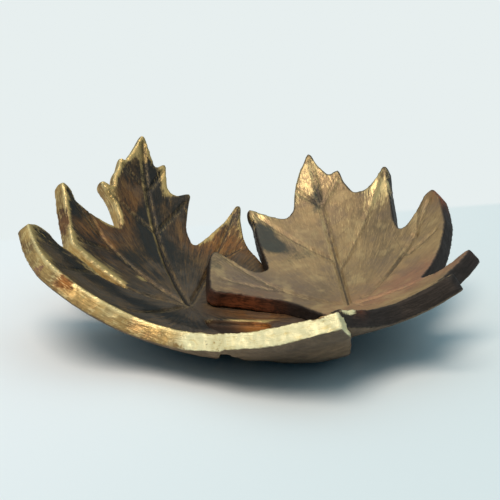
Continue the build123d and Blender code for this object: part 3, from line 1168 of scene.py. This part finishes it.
# Patches: x, y and z, then their reach along each, then their amount
LEFT_SPOTS = {
    Mask.GILT: spots(
        # front edge
        (-62, -4, 34, 6, 9, 10, 1.0), (-57, -17, 28, 7, 7, 9, 1.0), (-46, -34, 23, 10, 8, 9, 1.2),
        (-33, -37, 17, 13, 8, 9, 1.4), (-20, -41, 14, 9, 8, 9, 1.5), (0, -50, 17, 26, 9, 11, 1.0),
        (-52.8, -26.3, 25.4, 2.6, 3, 5, 1.2),
        # edges at the left and back
        (-44, 7, 17, 10, 6, 8, 1.0), (-55, 12, 25, 6, 7, 8, 0.9), (-59, 26, 35, 6, 9, 10, 0.8),
        (-45, 34.5, 26, 4, 6, 6, 1.3), (-48, 42, 31, 4, 6, 6, 1.2), (-46, 51, 37, 4, 5, 6, 1.2),
        # floor
        (-38, 57, 43, 6, 6, 8, 0.9), (-30, 55, 33.5, 2.5, 4, 5, 1.0), (-28.5, 51.5, 29, 2, 3, 4, 0.8),
        (-33.5, 13.6, 11.6, 3, 1.2, 1.5, 1.1), (0, 1.4, 3.2, 6, 0.9, 0.8, 1.6),
        (-17, 52, 25, 5, 5, 6, 0.35), (-8, 47, 19, 8, 8, 8, 0.55), (-16, 41, 16, 4, 4, 4, 0.5),
    ),
    Mask.PALE: spots(
        (-10, -46, 15, 13, 8, 9, 1.9), (9, -54, 20, 20, 9, 10, 1.5), (-36, -33, 17.5, 7, 6, 3, 0.28),
    ),
    Mask.ROSE: spots(
        (-57, -20.5, 28, 3.6, 3.4, 6, 0.6),
        (14, -28, 10, 16, 18, 10, 0.8), (8, -8, 4, 14, 10, 5, 0.6),
    ),
    Mask.RUST: spots(
        (-47.8, -29.6, 24.2, 3.8, 4.2, 4.2, 1.0), (-44, -34, 21, 3, 4, 5, 0.4),
        (-28.5, -40, 14, 2, 5, 6, 0.9), (15, -50.5, 23.6, 6, 1.8, 1.6, 1.3),
        (-12, 41, 16, 11, 7, 8, 1.0), (-38, 45, 29, 7, 8, 8, 0.45), (-50, 22, 25, 7, 8, 8, 0.7),
        (-44, 19, 19, 7, 6, 6, 0.6), (-43, 33, 23, 8, 9, 7, 0.45), (0, 6, 3, 12, 4, 4, 0.8),
        (0.5, 0, 0.5, 4.5, 4, 3.5, 1.4),
    ),
    Mask.CREASE: spots(
        (-45, -31.4, 21.6, 0.6, 4, 6, 0.85), (-12.5, -42.8, 12.8, 0.55, 3, 1.8, 0.8),
        (-8.4, -45.6, 15, 0.6, 3, 3, 0.45),
        (-28, 49, 27, 8, 6, 7, 0.4), (-40, 42, 27, 6, 6, 6, 0.3),
    ),
    Mask.SOOT: spots(
        (-10, 0.5, 0.5, 5, 3, 3, 1.3), (-35.2, 54, 35.7, 2.2, 4, 5, 0.9), (-32, 50, 31, 3, 6, 6, 0.9),
        (-34.5, 42, 24, 3, 8, 8, 0.8), (-30, 32, 16, 4, 8, 6, 0.7), (-33, 37, 20.3, 4.5, 7, 7, 0.9),
        (-37.7, 20.4, 15.4, 7, 6, 5, 0.5), (-37, 50.7, 33.4, 3, 4, 4, 0.4), (-24, 50, 27, 5, 5, 6, 0.7),
        (-55, 27, 31, 4, 7, 6, 0.9), (-47, 16, 21, 10, 5, 7, 0.7), (-52, -2, 22, 16, 4, 12, 0.9),
        (-30, -4, 9, 14, 4, 7, 0.9), (-16, -10, 6, 10, 4, 7, 0.5), (-25, 30, 13, 6, 9, 6, 0.5),
    ),
    Mask.ASH: spots(
        (-42, -14, 16, 22, 8, 12, 0.8), (-18, -16, 6, 18, 12, 6, 0.9), (-18, 14, 6, 14, 12, 6, 0.8),
        (-32, 4, 9, 14, 8, 6, 0.6),
    ),
}
RIGHT_SPOTS = {
    Mask.GILT: spots(
        (17, 60, 35, 8, 7, 9, 0.7), (15, 53, 28, 7, 6, 7, 0.6), (27, 55, 33, 6, 6, 8, 0.45),
        (40, 48, 33, 6, 7, 9, 0.7), (2, 47, 23, 6, 5, 6, 0.9), (54, 28, 31, 6, 9, 8, 0.2),
        (30, 36, 20, 12, 10, 9, 0.25), (39.5, 42.8, 28.6, 6, 6, 6, 0.12),
        (28.5, 43, 23.7, 8, 7, 7, 0.3), (38.5, 45, 30, 5, 7, 8, 0.3),
    ),
    Mask.PALE: spots(
        (23.5, -44.5, 23, 3.2, 3, 1.8, 1.6),
    ),
    Mask.SOOT: spots(
        (1.2, 42.5, 19.6, 2, 2.5, 3, 0.8), (2.8, 39.5, 18, 2.8, 3.8, 3, 1.3),
        (4.5, 36.5, 16, 3.2, 4, 3, 1.2), (8.5, 34.5, 15.2, 4, 3, 3, 0.6), (12, 31, 13, 7, 4, 5, 0.3),
        # the first patch on this row is painted shade along the rounded upper edge of the left lobe
        (-13, 27, 14, 6, 5, 5, 0.45), (20, 51, 27, 2, 4, 5, 1.0),
    ),
    Mask.CREASE: spots(
        (36, 16, 15, 12, 9, 8, 1.0), (19.5, 51, 27.5, 4, 5, 5, 0.8),
    ),
    Mask.ASH: spots(
        (-5, 18, 10, 12, 9, 6, 0.9), (10, 12, 8, 14, 12, 7, 0.8), (15, 37, 17, 8, 7, 7, 0.5),
    ),
    Mask.ROSE: spots(
        (37, -6, 14, 18, 10, 8, 1.0), (46, 1, 18, 10, 8, 7, 0.8), (54, -8, 25, 9, 8, 8, 1.0),
        (12, -20, 10, 14, 12, 6, 0.8),
    ),
    Mask.RUST: spots(
        (-4, 10, 5, 11, 5, 4, 0.9), (61, -6, 31, 3, 4, 4, 1.0), (57.5, 33, 34, 4, 6, 5, 1.3),
        (-3, 49, 27, 3, 3, 4, 0.8), (25, -41, 24, 2.5, 4, 3, 0.8),
    ),
}
LEFT_PULLS = [
    Pull((-37.5, 61.9, 44.5), (0.3, 0.9, 1.2)), Pull((-43.1, 54, 38.9), (-0.3, 0.4, 0.9)),
    Pull((-46.6, 44.7, 32.5), (-1.9, 0, 1.8), 5.0), Pull((-58.3, 32.6, 35.4), (-0.9, 0.4, 1.4)),
    Pull((-63.6, 3, 31.3), (-0.3, 0.9, 0.4)), Pull((-30.3, 59.7, 35.6), (0.4, 0.8, 0.8)),
    Pull((-22.3, 55.5, 26.9), (0.5, 0.7, 0.5)), Pull((-6.5, 54.6, 22.2), (0.9, 1.8, 1.5)),
]
RIGHT_PULLS = [
    Pull((-0.8, 49.8, 22.5), (-1.3, 1.1, 1.0)), Pull((17.9, 64.5, 38.1), (-0.1, 0.8, 1.1)),
    Pull((27.1, 58.6, 34), (0, 0.8, 0.9)), Pull((41.8, 53.1, 36.1), (0.2, 1.3, 1.5)),
    Pull((55.1, 36.7, 32.9), (-0.2, 0.8, 0.4)), Pull((59.2, -0.8, 24.9), (0.4, -0.1, 0.3)),
]
UMBER = Patina(
    "umber_patina", dark=(0.022, 0.018, 0.014), body=(0.080, 0.051, 0.027), light=(0.20, 0.115, 0.042),
    warm=(0.27, 0.100, 0.020), rose=(0.16, 0.085, 0.055), ash=(0.100, 0.080, 0.060),
    rubbed=(0.58, 0.40, 0.15), edge=(0.10, 0.052, 0.024),
)
TAN = Patina(
    "tan_patina", dark=(0.125, 0.088, 0.048), body=(0.36, 0.235, 0.105), light=(0.56, 0.40, 0.18),
    warm=(0.21, 0.060, 0.020), rose=(0.33, 0.165, 0.092), ash=(0.15, 0.105, 0.075),
    # the near black tone of the bare cut edge is painted shade
    rubbed=(0.64, 0.49, 0.22), edge=(0.020, 0.015, 0.013), smoke_and_shade=(0.045, 0.052, 0.050), rim_gold=0.1,
    rim_shade=0.85, lip=0.3, groove=0.26, depth=0.42, fine=0.6, stroke=0.5, line=0.5, shed=0.30, cut=0.65,
)


def main() -> None:
    """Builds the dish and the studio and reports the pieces."""
    logging.basicConfig(level=logging.INFO)
    left = LeafSlab("left_leaf", LEFT_PATTERN, UMBER, LEFT_SPOTS, LEFT_RIBS, LEFT_TWIGS, LEFT_PULLS,
                    blunt=spots((-64.6, -1.0, 32, 6, 6, 7, 1.0)),
                    thin=spots((-41, 57, 44, 9, 9, 12, 1.0), (-44, 50, 38, 6, 7, 8, 0.8)),
                    webs=[(-5.0, -8.5, 11.5, 11.5), (-5.0, -32.0, 8.0, 14.5)], softness=12)
    right = LeafSlab("right_leaf", RIGHT_PATTERN, TAN, RIGHT_SPOTS, RIGHT_RIBS, RIGHT_TWIGS, RIGHT_PULLS,
                     blunt=spots((61, -6, 30, 6, 6, 7, 0.7)))
    for leaf in (left, right):
        piece = leaf.build()
        LOG.info("%s: %d faces", piece.name, len(piece.data.polygons))
    Studio().build()
    LOG.info("sizes written")


if __name__ == "__main__":
    main()
